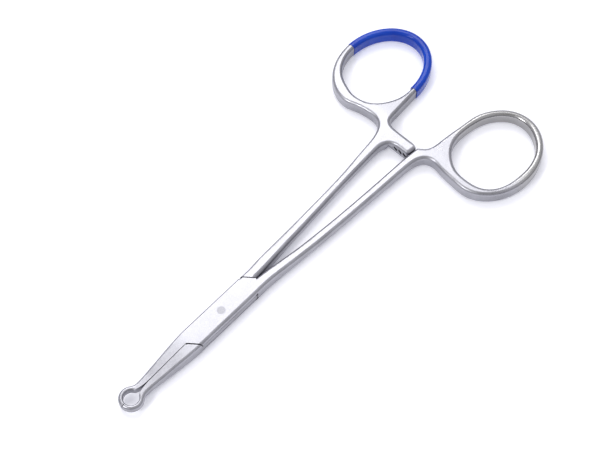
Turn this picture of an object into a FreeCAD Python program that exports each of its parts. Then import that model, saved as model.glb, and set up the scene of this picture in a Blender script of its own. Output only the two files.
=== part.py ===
import FreeCAD, Part
import math
import os
import Sketcher

V = FreeCAD.Vector
doc = FreeCAD.newDocument("ring_forceps")

# ---------------------------------------------------------------------------
# Driving dimensions, in millimetres.
# The forceps lie flat and closed. +X runs to the jaw tip, +Z is up, and the
# origin is on the pivot axis at the underside of the box lock.
# ---------------------------------------------------------------------------
DIMS = [
    ("box_height", 4.6), ("box_half_width", 3.38), ("box_half_length", 10.3), ("box_point", 13.0),
    ("mid_level", 2.3), ("split_gap", 0.05), ("corner_reach", 0.3),
    ("slot_height", 1.9), ("tongue_height", 1.8), ("slot_clearance", 0.06), ("cheek_gap", 0.32),
    ("seam_height", 0.13), ("seam_depth", 0.55), ("relief_radius", 0.5), ("tip_notch", 0.1),
    ("tip_centre", 33.45), ("tip_outer", 3.43), ("tip_inner", 2.15), ("tip_half_height", 1.2),
    ("shank_half_height", 1.5), ("ring_half_height", 2.2),
    ("rivet_shaft", 0.95), ("rivet_head", 1.17), ("rivet_head_depth", 0.7), ("tongue_bore", 0.99),
    ("edge_break", 0.08), ("shank_round", 0.95), ("finger_round", 0.85),
    ("jaw_round", 0.75), ("tip_round", 0.45),
    ("ratchet_near", -70.3), ("ratchet_far", -73.6), ("ratchet_gap", 0.1), ("tooth_pitch", 1.6), ("tooth_depth", 1.0),
    ("catch_root", 5.0), ("catch_end", -2.6), ("catch_bottom", 0.45), ("arm_root", -2.9), ("arm_end", 4.1), ("arm_slant", 0.12),
    ("coat_thickness", 0.1), ("coat_round", 1.0),
]
sheet = doc.addObject("Spreadsheet::Sheet", "Params")
for row, (name, value) in enumerate(DIMS, start=1):
    sheet.set("A%d" % row, name)
    sheet.set("B%d" % row, str(value))
    sheet.setAlias("B%d" % row, name)
doc.recompute()


def dim(name):
    return float(sheet.get(name))


GAP = dim("split_gap")
MID = dim("mid_level")
HW = dim("box_half_width")
HL = dim("box_half_length")
BP = dim("box_point")
TX, RO, RI = dim("tip_centre"), dim("tip_outer"), dim("tip_inner")

# Walls of the two halves, seen from above. The half with the box (the female
# half) has its shank on +Y; the half that passes through it is given here as
# if it were mirrored to +Y, and is mirrored back when its outline is made.
BOX_HALF = dict(
    inner=[(-13.9, 0.06), (-18, 0.43), (-25, 1.28), (-35, 2.22), (-45, 2.94), (-55, 3.44), (-62, 3.80), (-68, 4.12), (-73.7, 4.8)],
    rear=[(-73.7, 4.8), (-74.4, 5.75), (-75.3, 6.75), (-76.6, 7.45), (-78.5, 7.82), (-81.5, 8.12), (-84.5, 8.5), (-88.0, 9.0)],
    ring=(-87.33, 21.43, 15.28, 12.5, 0.0),
    ring_at=(-113, -128, -145, -162, -180, 163, 147, 130, 113, 96, 79, 62, 45, 28, 10),
    neck=[(-72.35, 18.3), (-72.75, 14.5), (-73.2, 12.0), (-73.15, 10.3), (-72.5, 8.8), (-71.0, 7.65), (-68.5, 7.0), (-65.0, 6.72)],
    outer=[(-60.0, 6.45), (-52.0, 6.05), (-45, 5.68), (-35, 5.06), (-25, 4.24), (-18.5, 3.65)],
)
THROUGH_HALF = dict(
    inner=[(-13.9, 0.1), (-18, 0.30), (-25, 0.9), (-35, 1.55), (-45, 2.25), (-55, 2.85), (-62, 3.15), (-66.2, 3.25)],
    rear=[(-74.1, -2.95), (-74.1, -1.2), (-74.1, 1.5), (-74.13, 4.0), (-74.45, 5.6), (-75.2, 6.6), (-76.6, 7.1), (-78.6, 7.25), (-81.5, 7.42), (-85.0, 7.6), (-88.4, 7.82)],
    ring=(-87.08, 20.31, 15.61, 12.6, 5.5),
    ring_at=(-115, -128, -145, -162, -180, 163, 147, 130, 113, 96, 79, 62, 45, 28, 10, -6),
    neck=[(-72.45, 17.0), (-73.02, 14.2), (-73.22, 12.0), (-73.0, 10.2), (-72.2, 8.75), (-70.8, 7.7), (-68.8, 7.02), (-66.2, 6.6)],
    outer=[(-62, 6.23), (-55, 5.52), (-45, 4.86), (-35, 4.45), (-25, 4.08), (-18, 3.75)],
)
HOLE_BOX = [(-75.10, 20.3), (-75.2, 23.3), (-75.9, 26.0), (-77.3, 28.05), (-79.3, 29.6), (-81.9, 30.7), (-84.5, 31.2), (-87.0, 31.4),
            (-89.4, 31.4), (-91.9, 31.0), (-94.3, 30.2), (-96.6, 28.75), (-98.6, 26.5), (-99.95, 23.9), (-100.4, 21.0), (-99.95, 18.4),
            (-98.5, 15.9), (-96.35, 13.85), (-93.75, 12.35), (-90.7, 11.4), (-87.0, 10.85), (-84.0, 10.85), (-81.3, 11.5), (-79.0, 12.85),
            (-77.0, 14.9), (-75.6, 17.4)]
HOLE_WEB = [(-86.81, 9.5), (-84.6, 9.66), (-82.6, 10.1), (-80.65, 10.95), (-78.49, 12.28), (-76.59, 14.08), (-75.44, 15.91), (-74.86, 18.1),
            (-74.8, 20.6), (-75.6, 23.25), (-76.55, 25.4), (-78.35, 27.75), (-81.33, 29.7)]


def unit(x, y):
    n = math.hypot(x, y)
    return (x / n, y / n)


def on_ellipse(e, deg):
    cx, cy, a, b, rot = e
    t, r = math.radians(deg), math.radians(rot)
    x, y = a * math.cos(t), b * math.sin(t)
    return (cx + x * math.cos(r) - y * math.sin(r), cy + x * math.sin(r) + y * math.cos(r))


def on_tip(radius, deg):
    return (TX + radius * math.cos(math.radians(deg)), radius * math.sin(math.radians(deg)))


class Outline:
    """Plan curves of one half, kept in order; side -1 mirrors them in Y."""

    def __init__(self, side):
        self.side = side
        self.curves = []

    def v(self, p):
        return V(p[0], self.side * p[1], 0)

    def line(self, a, b):
        self.curves.append(Part.LineSegment(self.v(a), self.v(b)))

    def spline(self, pts, cuts=()):
        """a smooth curve through pts, in spans that meet at the points cuts; returns its end directions"""
        s = Part.BSplineCurve()
        s.interpolate([self.v(p) for p in pts])
        at = [s.FirstParameter] + sorted(s.parameter(self.v(pts[i])) for i in cuts) + [s.LastParameter]
        for a, b in zip(at, at[1:]):
            c = s.copy()
            c.segment(a, b)
            self.curves.append(c)
        t0, t1 = s.tangent(s.FirstParameter)[0], s.tangent(s.LastParameter)[0]
        return (t0.x, self.side * t0.y), (t1.x, self.side * t1.y)

    def blend(self, a, ta, b, tb, la, lb):
        """a bend that leaves a along ta and reaches b along tb"""
        c = Part.BezierCurve()
        c.setPoles([self.v(p) for p in (a, (a[0] + ta[0] * la, a[1] + ta[1] * la), (b[0] - tb[0] * lb, b[1] - tb[1] * lb), b)])
        self.curves.append(c.toBSpline())


def half_outline(data, side):
    """closed plan outline of a half: jaw on -Y, shank on +Y before mirroring"""
    o = Outline(side)
    reach = dim("corner_reach")
    # round outside of the tip ring, the jaw's flank, the side of the box
    a0 = -math.degrees(math.asin(GAP / RO))
    tip = [on_tip(RO, a) for a in (a0, -12, -25, -40, -55, -70, -85, -100, -115, -130)]
    jaw = tip + [(30.35, -2.14), (29.2, -2.02), (27.6, -2.08), (25.0, -2.3), (22.0, -2.56), (18.5, -2.88), (15.5, -3.13)]
    t0, t1 = o.spline(jaw, (6, 10, 12, 14))
    o.blend(jaw[-1], t1, (10.9, -HW), (-1, 0), 1.5, 1.5)
    o.line((10.9, -HW), (-HL, -HW))
    # slanting end of the box, the inside of the shank
    d = unit(-(BP - HL), HW)
    start = (-BP - d[0] * reach, -d[1] * reach)
    o.line((-HL, -HW), start)
    inner = data["inner"]
    probe = Part.BSplineCurve()
    probe.interpolate([V(p[0], p[1], 0) for p in inner])
    ti = probe.tangent(probe.FirstParameter)[0]
    o.blend(start, d, inner[0], (ti.x, ti.y), 0.4, 0.4)
    t0, t1 = o.spline(inner, (2, 4, 6))
    if side < 0:
        # the bar of the ratchet reaches across to the other shank, and its end runs along that shank
        near, end, slant = dim("ratchet_near") + 0.1, -dim("arm_end"), dim("arm_slant")
        along = unit(-1, -slant)
        o.blend(inner[-1], t1, (near, -0.9), (0, -1), 2.6, 2.6)
        o.line((near, -0.9), (near, end + 0.9))
        o.blend((near, end + 0.9), (0, -1), (near - 0.9, end - 0.9 * slant), along, 0.5, 0.5)
    # web, finger ring, the neck below it, the outside of the shank
    ring = [on_ellipse(data["ring"], a) for a in data["ring_at"]]
    pts = data["rear"] + ring + data["neck"] + data["outer"]
    if side < 0:
        back = Part.BSplineCurve()
        back.interpolate([V(p[0], p[1], 0) for p in pts])
        tb = back.tangent(back.FirstParameter)[0]
        far = data["rear"][0]
        turn = (far[0] + 0.9, end + slant * (far[0] + 0.9 - near))
        o.line((near - 0.9, end - 0.9 * slant), turn)
        o.blend(turn, along, far, (tb.x, tb.y), 0.5, 0.5)
    n, m = len(data["rear"]), len(ring)
    t0, t1 = o.spline(pts, (n // 2 + 1, n + 4, n + 9, n + 13, n + m + 5, n + m + 8, n + m + 10))
    o.blend(pts[-1], t1, (-13.0, HW), (1, 0), 1.8, 1.8)
    o.line((-13.0, HW), (HL, HW))
    # slanting end of the box, parting line, slit and hole of the tip ring
    d = unit(BP - HL, -HW)
    start = (BP - d[0] * reach, -d[1] * reach)
    o.line((HL, HW), start)
    o.blend(start, d, (BP + reach, -GAP), (1, 0), 0.67 * reach, 0.67 * reach)
    o.line((BP + reach, -GAP), (26.0, -GAP))
    h0 = -145.0
    th = unit(-math.sin(math.radians(h0)), math.cos(math.radians(h0)))
    b0 = -math.degrees(math.asin(GAP / RI))
    o.blend((26.0, -GAP), (1, 0), on_tip(RI, h0), th, 3.4, 0.9)
    arc = Part.Arc(o.v(on_tip(RI, h0)), o.v(on_tip(RI, (h0 + b0) / 2)), o.v(on_tip(RI, b0)))
    o.curves.append(arc)
    o.line(on_tip(RI, b0), tip[0])
    return o.curves


def hole_outline(pts, side):
    s = Part.BSplineCurve()
    s.interpolate([V(p[0], side * p[1], 0) for p in pts], PeriodicFlag=True)
    return [s]


def side_outline(sign):
    """closed side-view region that is cut away above (or below) the thickness curve"""
    tb, ts, tr, tt = dim("box_height") / 2, dim("shank_half_height"), dim("ring_half_height"), dim("tip_half_height")
    far = tb + 2.0

    def P(x, z):
        return V(x, MID + sign * z, 0)

    def bend(a, b, c, d):
        k = Part.BezierCurve()
        k.setPoles([P(*a), P(*b), P(*c), P(*d)])
        return k.toBSpline()

    return [Part.LineSegment(P(-115, tr), P(-76, tr)), bend((-76, tr), (-70, tr), (-63, ts), (-50, ts)), Part.LineSegment(P(-50, ts), P(-35, ts)),
            bend((-35, ts), (-25.5, ts), (-19, tb), (-11.5, tb)), Part.LineSegment(P(-11.5, tb), P(12, tb)),
            bend((12, tb), (18, tb), (25, tt), (33, tt)), Part.LineSegment(P(33, tt), P(42, tt)),
            Part.LineSegment(P(42, tt), P(42, far)), Part.LineSegment(P(42, far), P(-115, far)), Part.LineSegment(P(-115, far), P(-115, tr))]


def plane(body, role):
    for feature in body.Origin.OriginFeatures:
        if feature.Role == role:
            return feature
    raise RuntimeError("no plane " + role)


def sketch_on(body, name, role, curves):
    s = body.newObject("Sketcher::SketchObject", name)
    s.AttachmentSupport = [(plane(body, role), "")]
    s.MapMode = "FlatFace"
    s.addGeometry(curves, False)
    return s


def blank(name, data, hole, side):
    """a forged half before its edges are rounded: plan outline, finger hole, side profile"""
    body = doc.addObject("PartDesign::Body", name + "_blank")
    plan = sketch_on(body, name + "_plan", "XY_Plane", half_outline(data, side))
    plan.setExpression("AttachmentOffset.Base.z", "Params.mid_level")
    pad = body.newObject("PartDesign::Pad", name + "_pad")
    pad.Profile = plan
    pad.SideType = "Symmetric"
    pad.setExpression("Length", "Params.box_height + 0.6")
    doc.recompute()
    finger = sketch_on(body, name + "_finger", "XY_Plane", hole_outline(hole, side))
    pocket = body.newObject("PartDesign::Pocket", name + "_finger_hole")
    pocket.Profile = finger
    pocket.SideType = "Symmetric"
    pocket.setExpression("Length", "Params.box_height * 4")
    doc.recompute()
    sides = sketch_on(body, name + "_sides", "XZ_Plane", side_outline(1) + side_outline(-1))
    trim = body.newObject("PartDesign::Pocket", name + "_thickness")
    trim.Profile = sides
    trim.SideType = "Symmetric"
    trim.Length = 160
    doc.recompute()
    body.Tip = trim
    doc.recompute()
    for a, b in ((pad, pocket), (pocket, trim)):
        if not b.Shape.Volume < a.Shape.Volume - 1:
            raise RuntimeError(name + ": a pocket removed nothing")
    return body


def plan_edges(shape):
    """edges between a wall and the top or bottom, with the middle point of each"""
    faces = {}
    for i, f in enumerate(shape.Faces):
        u0, u1, v0, v1 = f.ParameterRange
        faces[i] = abs(f.normalAt((u0 + u1) / 2, (v0 + v1) / 2).z) > 0.7
    owners = {}
    for i, f in enumerate(shape.Faces):
        for e in f.Edges:
            owners.setdefault(e.hashCode(), []).append(i)
    out = []
    for k, e in enumerate(shape.Edges, start=1):
        own = owners.get(e.hashCode(), [])
        if len(own) == 2 and faces[own[0]] != faces[own[1]]:
            a, b = e.valueAt(e.FirstParameter), e.valueAt(e.LastParameter)
            m = e.valueAt((e.FirstParameter + e.LastParameter) / 2)
            out.append((k, a, m, b))
    return out


def on_parting(x, y):
    """the slanting end of the box, the parting line and the tip ring's hole, on a half seen with its shank on +Y"""
    return (x > 28.5 and math.hypot(x - TX, y) < (RO + RI) / 2) or (HL + 0.01 < x < 31 and y > -1.3)


def on_jaw(x, y):
    """the jaw's flank and the side of the box below it"""
    return not on_parting(x, y) and (x > HL + 0.01 or (y < -HW + 0.005 and x > -HL - 0.01))


def rounded(base, name, radius, pick):
    """rounds the picked edges of top and bottom"""
    edges = [(k, dim(radius), dim(radius)) for k, a, m, b in plan_edges(base.Shape) if pick(m)]
    f = doc.addObject("Part::Fillet", name)
    f.Base = base
    f.Edges = edges
    doc.recompute()
    if f.Shape.isNull() or not f.Shape.isValid() or not f.Shape.Volume < base.Shape.Volume:
        raise RuntimeError("rounding failed: " + name)
    return f


def cut_plan(gap, side):
    """plan of the room that one half leaves for the other inside the box"""
    d = unit(-(BP - HL), HW)                     # along the slanting end, from its corner to the parting line
    nx, ny = -d[1], d[0]                         # across it, away from the box: reversed below if needed
    if nx > 0:
        nx, ny = -nx, -ny
    r = dim("corner_reach")
    a = (-HL - d[0] * 1.6 + nx * gap, -HW - d[1] * 1.6 + ny * gap)
    b = (-BP - d[0] * r + nx * gap, -d[1] * r + ny * gap)
    c = (-BP - r * 0.35 + nx * gap, -0.30 * r - gap * 0.9)
    e = (-BP - r * 1.3, -0.02 - gap)
    left = [a, b, c, e, (-BP - r * 1.3, 4.2 + HW)]
    pts = [(x, -side * y) for x, y in left]
    pts += [(-x, -y) for x, y in pts]
    return [V(x, y, 0) for x, y in pts]


def prism(name, pts, level, height, body_sides="Symmetric"):
    """a straight-sided block from a plan polygon, centred on a level"""
    body = doc.addObject("PartDesign::Body", name)
    n = len(pts)
    s = sketch_on(body, name + "_plan", "XY_Plane", [Part.LineSegment(pts[i], pts[(i + 1) % n]) for i in range(n)])
    s.setExpression("AttachmentOffset.Base.z", level)
    pad = body.newObject("PartDesign::Pad", name + "_pad")
    pad.Profile = s
    pad.SideType = body_sides
    pad.setExpression("Length", height)
    doc.recompute()
    return body


def cylinder(name, radius, low, height):
    c = doc.addObject("Part::Cylinder", name)
    c.setExpression("Radius", radius)
    c.setExpression("Height", height)
    c.setExpression("Placement.Base.z", low)
    return c


def boolean(kind, name, base, tool):
    b = doc.addObject("Part::" + kind, name)
    b.Base = base
    b.Tool = tool
    doc.recompute()
    return b


# ---------------------------------------------------------------------------
# Half with the box: one forging with its jaw, shank, plain finger ring and the
# lower bar of the ratchet.
# ---------------------------------------------------------------------------
box = blank("box_half", BOX_HALF, HOLE_BOX, 1)
sharp = box
box = rounded(box, "box_half_round", "shank_round", lambda m: not on_parting(m.x, m.y) and not on_jaw(m.x, m.y))
box = rounded(box, "box_half_jaw", "jaw_round", lambda m: on_jaw(m.x, m.y))
box = rounded(box, "box_half_edge", "edge_break", lambda m: on_parting(m.x, m.y))
# the slanting end of the cheeks keeps its crisp edge
d = unit(-(BP - HL), HW)
crisp = prism("cheek_end", [V(-HL + 0.9, -HW + 0.75, 0), V(-HL - 0.60, -HW + 0.75, 0), V(-BP - 0.2, -0.25, 0), V(-BP + 0.1, 0.9, 0), V(-HL + 0.9, 0.9, 0)],
              "Params.mid_level", "Params.box_height + 1")
corner = boolean("Common", "cheek_corner", sharp, crisp)
box = boolean("Fuse", "box_half_solid", box, corner)
slot = prism("slot", cut_plan(dim("slot_clearance"), 1), "Params.mid_level", "Params.slot_height")
box = boolean("Cut", "box_half_slotted", box, slot)
bore = cylinder("cheek_bore", "Params.rivet_shaft", "-1", "Params.box_height + 2")
sink_top = cylinder("sink_top", "Params.rivet_head", "Params.box_height - Params.rivet_head_depth", "Params.rivet_head_depth + 1")
sink_low = cylinder("sink_low", "Params.rivet_head", "-1", "Params.rivet_head_depth + 1")
sinks = doc.addObject("Part::MultiFuse", "rivet_seat")
sinks.Shapes = [bore, sink_top, sink_low]
doc.recompute()
box = boolean("Cut", "box_half_bored", box, sinks)


def tip_round(sign):
    """ring-shaped cutter that rounds the rim of the tip ring's hole"""
    r, hh = dim("tip_round"), dim("tip_half_height")
    z = MID + sign * hh
    k = 1 - math.sqrt(0.5)
    p = [V(RI - 0.3, 0, z + sign * 0.5), V(RI - 0.3, 0, z - sign * r), V(RI, 0, z - sign * r), V(RI + r, 0, z), V(RI + r, 0, z + sign * 0.5)]
    mid = V(RI + r * k, 0, z - sign * r * k)
    w = Part.Wire([Part.makeLine(p[0], p[1]), Part.makeLine(p[1], p[2]), Part.Arc(p[2], mid, p[3]).toShape(), Part.makeLine(p[3], p[4]), Part.makeLine(p[4], p[0])])
    s = Part.Face(w).revolve(V(0, 0, 0), V(0, 0, 1), 360)
    s.translate(V(TX, 0, 0))
    return s


rim = doc.addObject("Part::Feature", "tip_rim_cutter")
rim.Shape = tip_round(1).fuse(tip_round(-1))
box = boolean("Cut", "box_half_rim", box, rim)

# the two jaws leave a narrow open joint where they close the tip ring
NOTCH = dim("tip_notch")
notch = prism("tip_notch_cutter", [V(TX + RI - 0.3, -NOTCH, 0), V(TX + RO + 0.6, -NOTCH, 0), V(TX + RO + 0.6, NOTCH, 0), V(TX + RI - 0.3, NOTCH, 0)],
              "Params.mid_level", "Params.box_height")
box = boolean("Cut", "box_half_notched", box, notch)


def bar(name, x0, x1, pts):
    """a bar along X whose section lies in the YZ plane"""
    body = doc.addObject("PartDesign::Body", name)
    n = len(pts)
    s = sketch_on(body, name + "_section", "YZ_Plane", [Part.LineSegment(V(pts[i][0], pts[i][1], 0), V(pts[(i + 1) % n][0], pts[(i + 1) % n][1], 0)) for i in range(n)])
    s.setExpression("AttachmentOffset.Base.z", "(%s + %s) / 2" % (x0, x1))
    pad = body.newObject("PartDesign::Pad", name + "_pad")
    pad.Profile = s
    pad.SideType = "Symmetric"
    pad.setExpression("Length", "abs((%s) - (%s))" % (x1, x0))
    doc.recompute()
    return body


# where the tongue shows in the side of the box, a narrow groove runs along each edge of
# the slot, and a small drilled relief ends the slot
def seam(name, y_side, z_side):
    z, y = MID + z_side * dim("slot_height") / 2, y_side * HW
    deep, tall = y_side * dim("seam_depth"), z_side * dim("seam_height")
    return bar(name, "0 - Params.box_half_length", "Params.box_half_length",
               [(y - deep, z - z_side * 0.02), (y - deep, z + tall), (y + 0.3 * y_side, z + tall), (y + 0.3 * y_side, z - z_side * 0.02)])


def relief(name, y_side, z_side):
    c = doc.addObject("Part::Cylinder", name)
    c.setExpression("Radius", "Params.relief_radius")
    c.Height = 1.2
    c.Placement = FreeCAD.Placement(V(-y_side * (HL - 0.1), y_side * (HW - 0.7), MID + z_side * (dim("slot_height") / 2 + 0.1)), FreeCAD.Rotation(V(1, 0, 0), -90 * y_side))
    return c


for tag, y_side, z_side in (("a", 1, 1), ("b", 1, -1), ("c", -1, 1), ("d", -1, -1)):
    box = boolean("Cut", "box_half_seam_" + tag, box, seam("seam_" + tag, y_side, z_side))
    box = boolean("Cut", "box_half_relief_" + tag, box, relief("relief_" + tag, y_side, z_side))


def teeth(y0, y1, z, depth, flip):
    """saw teeth with their points on level z, running from y0 to y1"""
    out, step = [], dim("tooth_pitch")
    n = int(abs(y1 - y0) / step)
    sgn = 1 if y1 > y0 else -1
    for i in range(n):
        y = y0 + sgn * i * step
        if flip:
            out += [(y, z), (y + sgn * step * 0.82, z + depth), (y + sgn * step * 0.95, z)]
        else:
            out += [(y, z), (y + sgn * step * 0.13, z + depth), (y + sgn * step * 0.95, z)]
    return out


# the catch: a bar below mid level with its teeth upward
top = MID - dim("ratchet_gap") / 2
low, root, end = dim("catch_bottom"), dim("catch_root"), dim("catch_end")
section = [(end, low + 0.3), (end + 0.3, low), (root, low), (root, top)] + teeth(3.6, end + 0.2, top, -dim("tooth_depth"), False) + [(end, top)]
catch = bar("catch", "Params.ratchet_near", "Params.ratchet_far", section)
box_half = boolean("Fuse", "box_half", box, catch)
box_half.Label = "box_half"

# ---------------------------------------------------------------------------
# Half that passes through the box: jaw, tongue, shank, finger ring and the
# upper bar of the ratchet, one forging.
# ---------------------------------------------------------------------------
web_hole = HOLE_WEB + [on_ellipse((-87.08, 20.31, 13.41, 10.4, 5.5), a) for a in (78, 96, 114, 132, 150, 168, 186, 204, 222, 238, 250)]
thr = blank("through_half", THROUGH_HALF, web_hole, -1)


def seeded(base, name, radius, x, y):
    """rounds the run of edges, above and below, that passes nearest to a plan point"""
    edges = plan_edges(base.Shape)
    picked = []
    for above in (True, False):
        k = min((e for e in edges if (e[2].z > MID) == above), key=lambda e: math.hypot(e[2].x - x, e[2].y - y))[0]
        picked.append((k, dim(radius), dim(radius)))
    f = doc.addObject("Part::Fillet", name)
    f.Base = base
    f.Edges = picked
    doc.recompute()
    if f.Shape.isNull() or not f.Shape.isValid() or not f.Shape.Volume < base.Shape.Volume:
        raise RuntimeError("rounding failed: " + name)
    return f


thr = seeded(thr, "through_half_round", "shank_round", -98.96, -28.08)
thr = seeded(thr, "through_half_finger", "finger_round", -98.03, -25.89)
thr = seeded(thr, "through_half_jaw", "jaw_round", 18.75, 2.86)
thr = seeded(thr, "through_half_edge", "edge_break", 20.95, GAP)
upper = prism("upper_cheek_room", cut_plan(dim("cheek_gap"), -1), "Params.mid_level + Params.tongue_height / 2 + 2.5", "5")
lower = prism("lower_cheek_room", cut_plan(dim("cheek_gap"), -1), "Params.mid_level - Params.tongue_height / 2 - 2.5", "5")
thr = boolean("Cut", "through_half_upper", thr, upper)
thr = boolean("Cut", "through_half_lower", thr, lower)
thr = boolean("Cut", "through_half_bored", thr, cylinder("tongue_bore", "Params.tongue_bore", "-1", "Params.box_height + 2"))
thr = boolean("Cut", "through_half_rim", thr, rim)
thr = boolean("Cut", "through_half_notched", thr, notch)
bottom = MID + dim("ratchet_gap") / 2
root, end = dim("arm_root"), dim("arm_end") + 1.0
section = [(root, -1.0), (end, -1.0), (end, bottom)] + teeth(dim("arm_end") - 0.2, root + 0.3, bottom, dim("tooth_depth"), True) + [(root, bottom)]
room = bar("arm_room", "Params.ratchet_near + 3", "Params.ratchet_far - 0.55", section)
through_half = boolean("Cut", "through_half", thr, room)
through_half.Label = "through_half"

# ---------------------------------------------------------------------------
# Pivot rivet: a turned pin with flush heads at both sides of the box.
# ---------------------------------------------------------------------------
shaft = cylinder("rivet_shaft_pin", "Params.rivet_shaft", "0", "Params.box_height")
head_low = cylinder("rivet_head_low", "Params.rivet_head", "0", "Params.rivet_head_depth")
head_top = cylinder("rivet_head_top", "Params.rivet_head", "Params.box_height - Params.rivet_head_depth", "Params.rivet_head_depth")
pivot_rivet = doc.addObject("Part::MultiFuse", "pivot_rivet")
pivot_rivet.Shapes = [shaft, head_low, head_top]
pivot_rivet.Refine = True
pivot_rivet.Label = "pivot_rivet"
doc.recompute()

# ---------------------------------------------------------------------------
# Coloured coating on the far half of one finger ring.
# ---------------------------------------------------------------------------
def coat_body():
    grow = dim("coat_thickness")
    body = doc.addObject("PartDesign::Body", "coat_blank")
    cx, cy, a, b, rot = THROUGH_HALF["ring"]
    outer = [on_ellipse((cx, cy, a + grow, b + grow, rot), t) for t in range(0, 360, 15)]
    plan = sketch_on(body, "coat_plan", "XY_Plane", hole_outline(outer, -1) + hole_outline([on_ellipse((cx, cy, a - 2.2 - grow, b - 2.2 - grow, rot), t) for t in range(0, 360, 15)], -1))
    plan.setExpression("AttachmentOffset.Base.z", "Params.mid_level")
    pad = body.newObject("PartDesign::Pad", "coat_pad")
    pad.Profile = plan
    pad.SideType = "Symmetric"
    pad.setExpression("Length", "2 * (Params.ring_half_height + Params.coat_thickness)")
    doc.recompute()
    return body


coat = coat_body()
coat = rounded(coat, "coat_round", "coat_round", lambda m: True)
half_ring = prism("coat_extent", [V(-120, -45, 0), V(-86.7, -45, 0), V(-86.7, -31.2, 0), V(-87.8, -8, 0), V(-87.8, 0, 0), V(-120, 0, 0)], "Params.mid_level", "20")
coat = boolean("Common", "coat_sector", coat, half_ring)
finger_ring_coating = boolean("Cut", "finger_ring_coating", coat, through_half)
finger_ring_coating.Label = "finger_ring_coating"

PARTS = [box_half, through_half, pivot_rivet, finger_ring_coating]
doc.recompute()
for o in doc.Objects:
    if any(s in ("Invalid", "Error") for s in o.State):
        raise RuntimeError("failed object: " + o.Name)
for o in PARTS:
    if o.Shape.isNull() or not o.Shape.isValid():
        raise RuntimeError("bad shape: " + o.Label)
    if len(o.Shape.Solids) != 1:
        raise RuntimeError("%s has %d solids" % (o.Label, len(o.Shape.Solids)))
os.makedirs("parts", exist_ok=True)
for o in PARTS:
    o.Shape.exportStep("parts/%s.step" % o.Label)
    print(o.Label, round(o.Shape.Volume, 2), o.Shape.BoundBox)
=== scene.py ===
import math

import bpy
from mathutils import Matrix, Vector


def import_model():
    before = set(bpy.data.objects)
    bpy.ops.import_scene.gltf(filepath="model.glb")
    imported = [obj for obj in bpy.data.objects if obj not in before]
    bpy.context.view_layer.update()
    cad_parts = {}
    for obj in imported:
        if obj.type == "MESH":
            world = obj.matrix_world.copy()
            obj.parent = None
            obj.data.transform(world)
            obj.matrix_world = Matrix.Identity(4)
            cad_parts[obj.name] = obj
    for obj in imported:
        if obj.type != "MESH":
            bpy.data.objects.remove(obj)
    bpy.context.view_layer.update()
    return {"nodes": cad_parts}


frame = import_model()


# ---------------------------------------------------------------------------
# Node helpers
# ---------------------------------------------------------------------------
class Tree:
    def __init__(self, name):
        self.mat = bpy.data.materials.new(name)
        self.mat.use_nodes = True
        self.nt = self.mat.node_tree
        self.nt.nodes.clear()
        self.out = self.nt.nodes.new("ShaderNodeOutputMaterial")

    def node(self, kind, **values):
        n = self.nt.nodes.new(kind)
        for k, v in values.items():
            setattr(n, k, v)
        return n

    def put(self, socket, value):
        if isinstance(value, bpy.types.NodeSocket):
            self.nt.links.new(value, socket)
        else:
            socket.default_value = value

    def noise(self, at, scale, detail=3.0, rough=0.5, kind="3D"):
        n = self.node("ShaderNodeTexNoise", noise_dimensions=kind)
        self.put(n.inputs["Vector"], at)
        self.put(n.inputs["Scale"], scale)
        self.put(n.inputs["Detail"], detail)
        self.put(n.inputs["Roughness"], rough)
        return n.outputs["Fac"]

    def span(self, value, a, b, c, d, smooth=True):
        n = self.node("ShaderNodeMapRange", interpolation_type="SMOOTHSTEP" if smooth else "LINEAR")
        self.put(n.inputs["Value"], value)
        for key, v in (("From Min", a), ("From Max", b), ("To Min", c), ("To Max", d)):
            self.put(n.inputs[key], v)
        return n.outputs["Result"]

    def math(self, op, a, b=0.0, clamp=False):
        n = self.node("ShaderNodeMath", operation=op, use_clamp=clamp)
        self.put(n.inputs[0], a)
        self.put(n.inputs[1], b)
        return n.outputs[0]

    def mix(self, fac, a, b):
        n = self.node("ShaderNodeMix", data_type="RGBA")
        self.put(n.inputs["Factor"], fac)
        self.put(n.inputs["A"], a)
        self.put(n.inputs["B"], b)
        return n.outputs["Result"]

    def tint(self, colour, factor):
        n = self.node("ShaderNodeVectorMath", operation="SCALE")
        self.put(n.inputs[0], colour)
        self.put(n.inputs["Scale"], factor)
        return n.outputs["Vector"]

    def stretch(self, at, scale, turn=0.0):
        n = self.node("ShaderNodeMapping")
        self.put(n.inputs["Vector"], at)
        self.put(n.inputs["Scale"], scale)
        self.put(n.inputs["Rotation"], (0.0, 0.0, turn))
        return n.outputs["Vector"]

    def bump(self, height, strength, distance, normal=None):
        n = self.node("ShaderNodeBump")
        self.put(n.inputs["Strength"], strength)
        self.put(n.inputs["Distance"], distance)
        self.put(n.inputs["Height"], height)
        if normal is not None:
            self.put(n.inputs["Normal"], normal)
        return n.outputs["Normal"]


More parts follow.
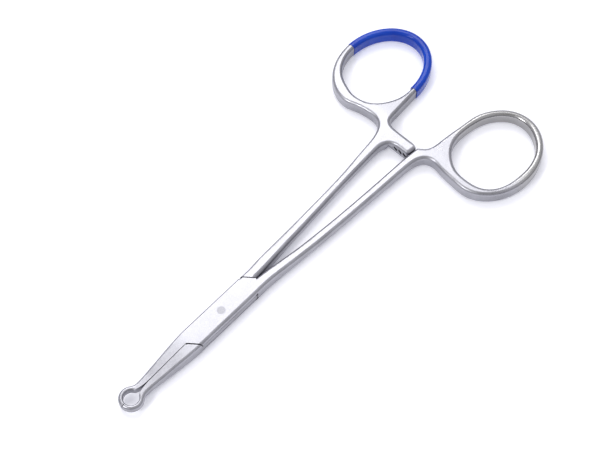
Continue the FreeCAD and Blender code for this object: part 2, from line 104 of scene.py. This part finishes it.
def steel(name, seed, base, satin, ring_smoothing_and_shade, polish_and_painted_reflection=None):
    """bead-blasted stainless steel with a faint grain; the finger rings' colour is darkened as painted shade; the
    far part of a ring can be more polished, with a warm painted reflection in its colour
    """
    t = Tree(name)
    at = t.node("ShaderNodeTexCoord").outputs["Object"]
    sep = t.node("ShaderNodeSeparateXYZ")
    t.put(sep.inputs[0], at)
    x, y = sep.outputs["X"], sep.outputs["Y"]
    off = t.node("ShaderNodeVectorMath", operation="ADD")
    t.put(off.inputs[0], at)
    t.put(off.inputs[1], (seed, seed * 0.7, seed * 0.3))
    at = off.outputs["Vector"]
    cloud = t.noise(at, 180.0, 4.0, 0.55)
    blast = t.noise(at, 5200.0, 2.0, 0.6)
    grain = t.noise(t.stretch(at, (9000.0, 900.0, 900.0), 0.25), 1.0, 2.0, 0.55)
    marks = t.noise(t.stretch(at, (260.0, 2400.0, 2400.0), -0.08), 1.0, 3.0, 0.6)
    tone = t.math("ADD", t.math("MULTIPLY", cloud, 0.5), t.math("MULTIPLY", blast, 0.5))
    dark = tuple(c * 0.86 for c in base) + (1.0,)
    lite = tuple(min(1.0, c * 1.12) for c in base) + (1.0,)
    colour = t.mix(t.span(tone, 0.36, 0.64, 0.0, 1.0), dark, lite)
    rough = t.math("ADD", t.span(cloud, 0.3, 0.7, satin - 0.04, satin + 0.05), t.span(marks, 0.55, 0.75, 0.0, -0.04))
    relief = 1.0
    # the finger rings are handled and a little smoother than the blasted shanks; their colour is also darkened as
    # painted shade, so the ring tops read greyer
    ring = t.span(x, -0.080, -0.073, 1.0, 0.0)
    rough = t.math("ADD", rough, t.math("MULTIPLY", ring, -ring_smoothing_and_shade[0]))
    colour = t.mix(ring, colour, t.tint(colour, ring_smoothing_and_shade[1]))
    if polish_and_painted_reflection is not None:
        x0, x1, side = polish_and_painted_reflection
        polish_and_reflection_gate = t.math("MULTIPLY", t.span(x, x0, x1, 1.0, 0.0), t.span(t.math("MULTIPLY", y, side), 0.004, 0.010, 0.0, 1.0))
        rough = t.math("ADD", rough, t.math("MULTIPLY", polish_and_reflection_gate, -0.10))
        relief = t.math("ADD", 1.0, t.math("MULTIPLY", polish_and_reflection_gate, -0.6))
        # painted reflection: the polished far part of the ring is tinted warm and a little darker
        colour = t.mix(t.math("MULTIPLY", polish_and_reflection_gate, 0.6), colour, (base[0] * 1.0, base[1] * 0.985, base[2] * 0.87, 1.0))
    shader = t.node("ShaderNodeBsdfPrincipled")
    t.put(shader.inputs["Base Color"], colour)
    t.put(shader.inputs["Roughness"], rough)
    shader.inputs["Metallic"].default_value = 1.0
    height = t.math("ADD", t.math("MULTIPLY", blast, 0.55), t.math("MULTIPLY", grain, 0.45))
    height = t.math("MULTIPLY", height, relief)
    n1 = t.bump(height, 0.32, 0.00002)
    n2 = t.bump(t.noise(at, 110.0, 2.0, 0.5), 0.18, 0.0002, n1)
    t.put(shader.inputs["Normal"], n2)
    t.put(t.out.inputs["Surface"], shader.outputs[0])
    return t.mat


def coating(name):
    """thick glossy enamel-like plastic with a little orange peel"""
    t = Tree(name)
    at = t.node("ShaderNodeTexCoord").outputs["Object"]
    cloud = t.noise(at, 140.0, 3.0, 0.5)
    fleck = t.noise(at, 3800.0, 2.0, 0.5)
    colour = t.mix(t.span(cloud, 0.3, 0.7, 0.0, 1.0), (0.0, 0.032, 0.35, 1.0), (0.0, 0.046, 0.42, 1.0))
    rough = t.math("ADD", 0.08, t.math("MULTIPLY", fleck, 0.06))
    shader = t.node("ShaderNodeBsdfPrincipled")
    t.put(shader.inputs["Base Color"], colour)
    t.put(shader.inputs["Roughness"], rough)
    shader.inputs["IOR"].default_value = 1.35
    # a slight pale bloom at grazing angles, as on handled enamel
    shader.inputs["Sheen Weight"].default_value = 0.10
    shader.inputs["Sheen Roughness"].default_value = 0.30
    shader.inputs["Sheen Tint"].default_value = (0.86, 0.92, 1.0, 1.0)
    peel = t.bump(t.noise(at, 420.0, 2.0, 0.5), 0.35, 0.0001)
    t.put(shader.inputs["Normal"], peel)
    t.put(t.out.inputs["Surface"], shader.outputs[0])
    return t.mat


def assign(node, mat):
    obj = frame["nodes"][node]
    obj.data.materials.clear()
    obj.data.materials.append(mat)


STEEL = (0.358, 0.357, 0.386)
# in each ring pair the second value darkens the rings' colour as painted shade; box_half's last tuple also gates a
# warm painted reflection on the far part of its ring
assign("box_half", steel("steel_box_half", 0.13, STEEL, 0.325, (0.04, 0.92), (-0.088, -0.080, 1.0)))
assign("through_half", steel("steel_through_half", 0.41, STEEL, 0.335, (0.06, 0.78)))
assign("pivot_rivet", steel("steel_rivet", 0.77, tuple(c * 0.88 for c in STEEL), 0.42, (0.0, 1.0)))
assign("finger_ring_coating", coating("blue_coating"))


# ---------------------------------------------------------------------------
# Floor, light, camera
# ---------------------------------------------------------------------------
def floor():
    m = bpy.data.meshes.new("floor")
    s = 6.0
    z = -0.00002
    m.from_pydata([(-s, -s, z), (s, -s, z), (s, s, z), (-s, s, z)], [], [(0, 1, 2, 3)])
    o = bpy.data.objects.new("floor", m)
    bpy.context.scene.collection.objects.link(o)
    t = Tree("floor_white")
    shader = t.node("ShaderNodeBsdfPrincipled")
    at = t.node("ShaderNodeTexCoord").outputs["Object"]
    t.put(shader.inputs["Base Color"], t.mix(t.noise(at, 12.0), (0.90, 0.90, 0.915, 1.0), (0.91, 0.91, 0.925, 1.0)))
    shader.inputs["Roughness"].default_value = 0.9
    shader.inputs["Specular IOR Level"].default_value = 0.1
    shader.inputs["Emission Color"].default_value = (0.84, 0.85, 1.0, 1.0)
    shader.inputs["Emission Strength"].default_value = 0.24
    t.put(t.out.inputs["Surface"], shader.outputs[0])
    m.materials.append(t.mat)


def world():
    """a pale room, brighter overhead than at the horizon"""
    w = bpy.data.worlds.new("studio")
    w.use_nodes = True
    nt = w.node_tree
    bg = nt.nodes["Background"]
    sep = nt.nodes.new("ShaderNodeSeparateXYZ")
    nt.links.new(nt.nodes.new("ShaderNodeTexCoord").outputs["Generated"], sep.inputs[0])
    up = nt.nodes.new("ShaderNodeMapRange")
    up.interpolation_type = "SMOOTHSTEP"
    for key, v in (("From Min", 0.05), ("From Max", 0.98), ("To Min", 0.0), ("To Max", 1.0)):
        up.inputs[key].default_value = v
    nt.links.new(sep.outputs["Z"], up.inputs["Value"])
    mix = nt.nodes.new("ShaderNodeMix")
    mix.data_type = "RGBA"
    nt.links.new(up.outputs["Result"], mix.inputs["Factor"])
    # the wall behind the table is brighter than the room in front of it
    side = nt.nodes.new("ShaderNodeVectorMath")
    side.operation = "DOT_PRODUCT"
    side.inputs[1].default_value = (-0.73, -0.68, 0.0)
    nt.links.new(sep.inputs[0].links[0].from_socket, side.inputs[0])
    back = nt.nodes.new("ShaderNodeMapRange")
    back.interpolation_type = "SMOOTHSTEP"
    for key, v in (("From Min", -0.2), ("From Max", 0.9), ("To Min", 0.0), ("To Max", 1.0)):
        back.inputs[key].default_value = v
    nt.links.new(side.outputs["Value"], back.inputs["Value"])
    wall = nt.nodes.new("ShaderNodeMix")
    wall.data_type = "RGBA"
    wall.inputs["A"].default_value = (0.45, 0.45, 0.49, 1.0)
    wall.inputs["B"].default_value = (0.60, 0.60, 0.66, 1.0)
    nt.links.new(back.outputs["Result"], wall.inputs["Factor"])
    nt.links.new(wall.outputs["Result"], mix.inputs["A"])
    mix.inputs["B"].default_value = (0.97, 0.97, 1.0, 1.0)
    # the dark lens and photographer above the near side
    near = nt.nodes.new("ShaderNodeVectorMath")
    near.operation = "DOT_PRODUCT"
    near.inputs[1].default_value = (0.355, 0.330, 0.875)
    nt.links.new(sep.inputs[0].links[0].from_socket, near.inputs[0])
    spot = nt.nodes.new("ShaderNodeMapRange")
    spot.interpolation_type = "SMOOTHSTEP"
    for key, v in (("From Min", 0.93), ("From Max", 0.985), ("To Min", 0.0), ("To Max", 0.75)):
        spot.inputs[key].default_value = v
    nt.links.new(near.outputs["Value"], spot.inputs["Value"])
    lens = nt.nodes.new("ShaderNodeMix")
    lens.data_type = "RGBA"
    lens.inputs["B"].default_value = (0.22, 0.21, 0.17, 1.0)
    nt.links.new(spot.outputs["Result"], lens.inputs["Factor"])
    nt.links.new(mix.outputs["Result"], lens.inputs["A"])
    nt.links.new(lens.outputs["Result"], bg.inputs["Color"])
    bg.inputs["Strength"].default_value = 1.0
    bpy.context.scene.world = w


def softbox(name, at, size, power, colour=(1.0, 1.0, 1.0), aim=(-0.03, 0.0, 0.0)):
    light = bpy.data.lights.new(name, "AREA")
    light.shape = "RECTANGLE"
    light.size, light.size_y = size
    light.energy = power
    light.color = colour
    o = bpy.data.objects.new(name, light)
    o.location = at
    o.rotation_euler = (Vector(aim) - Vector(at)).to_track_quat("-Z", "Y").to_euler()
    bpy.context.scene.collection.objects.link(o)


def camera():
    cam = bpy.data.cameras.new("camera")
    cam.lens = 102.0
    cam.sensor_width = 36.0
    cam.clip_start = 0.01
    cam.clip_end = 20.0
    o = bpy.data.objects.new("camera", cam)
    at = Vector((0.131046, 0.150401, 0.409033))
    aim = Vector((-0.034963, -0.004026, 0.0))
    o.location = at
    o.rotation_euler = (aim - at).to_track_quat("-Z", "Y").to_euler()
    bpy.context.scene.collection.objects.link(o)
    bpy.context.scene.camera = o


floor()
world()
softbox("key", (-0.462, -0.672, 1.01), (0.74, 0.74), 6.35)
softbox("glint", (0.90, -0.18, 0.90), (0.30, 0.26), 4.6)
camera()
bpy.context.scene.view_settings.view_transform = "Standard"
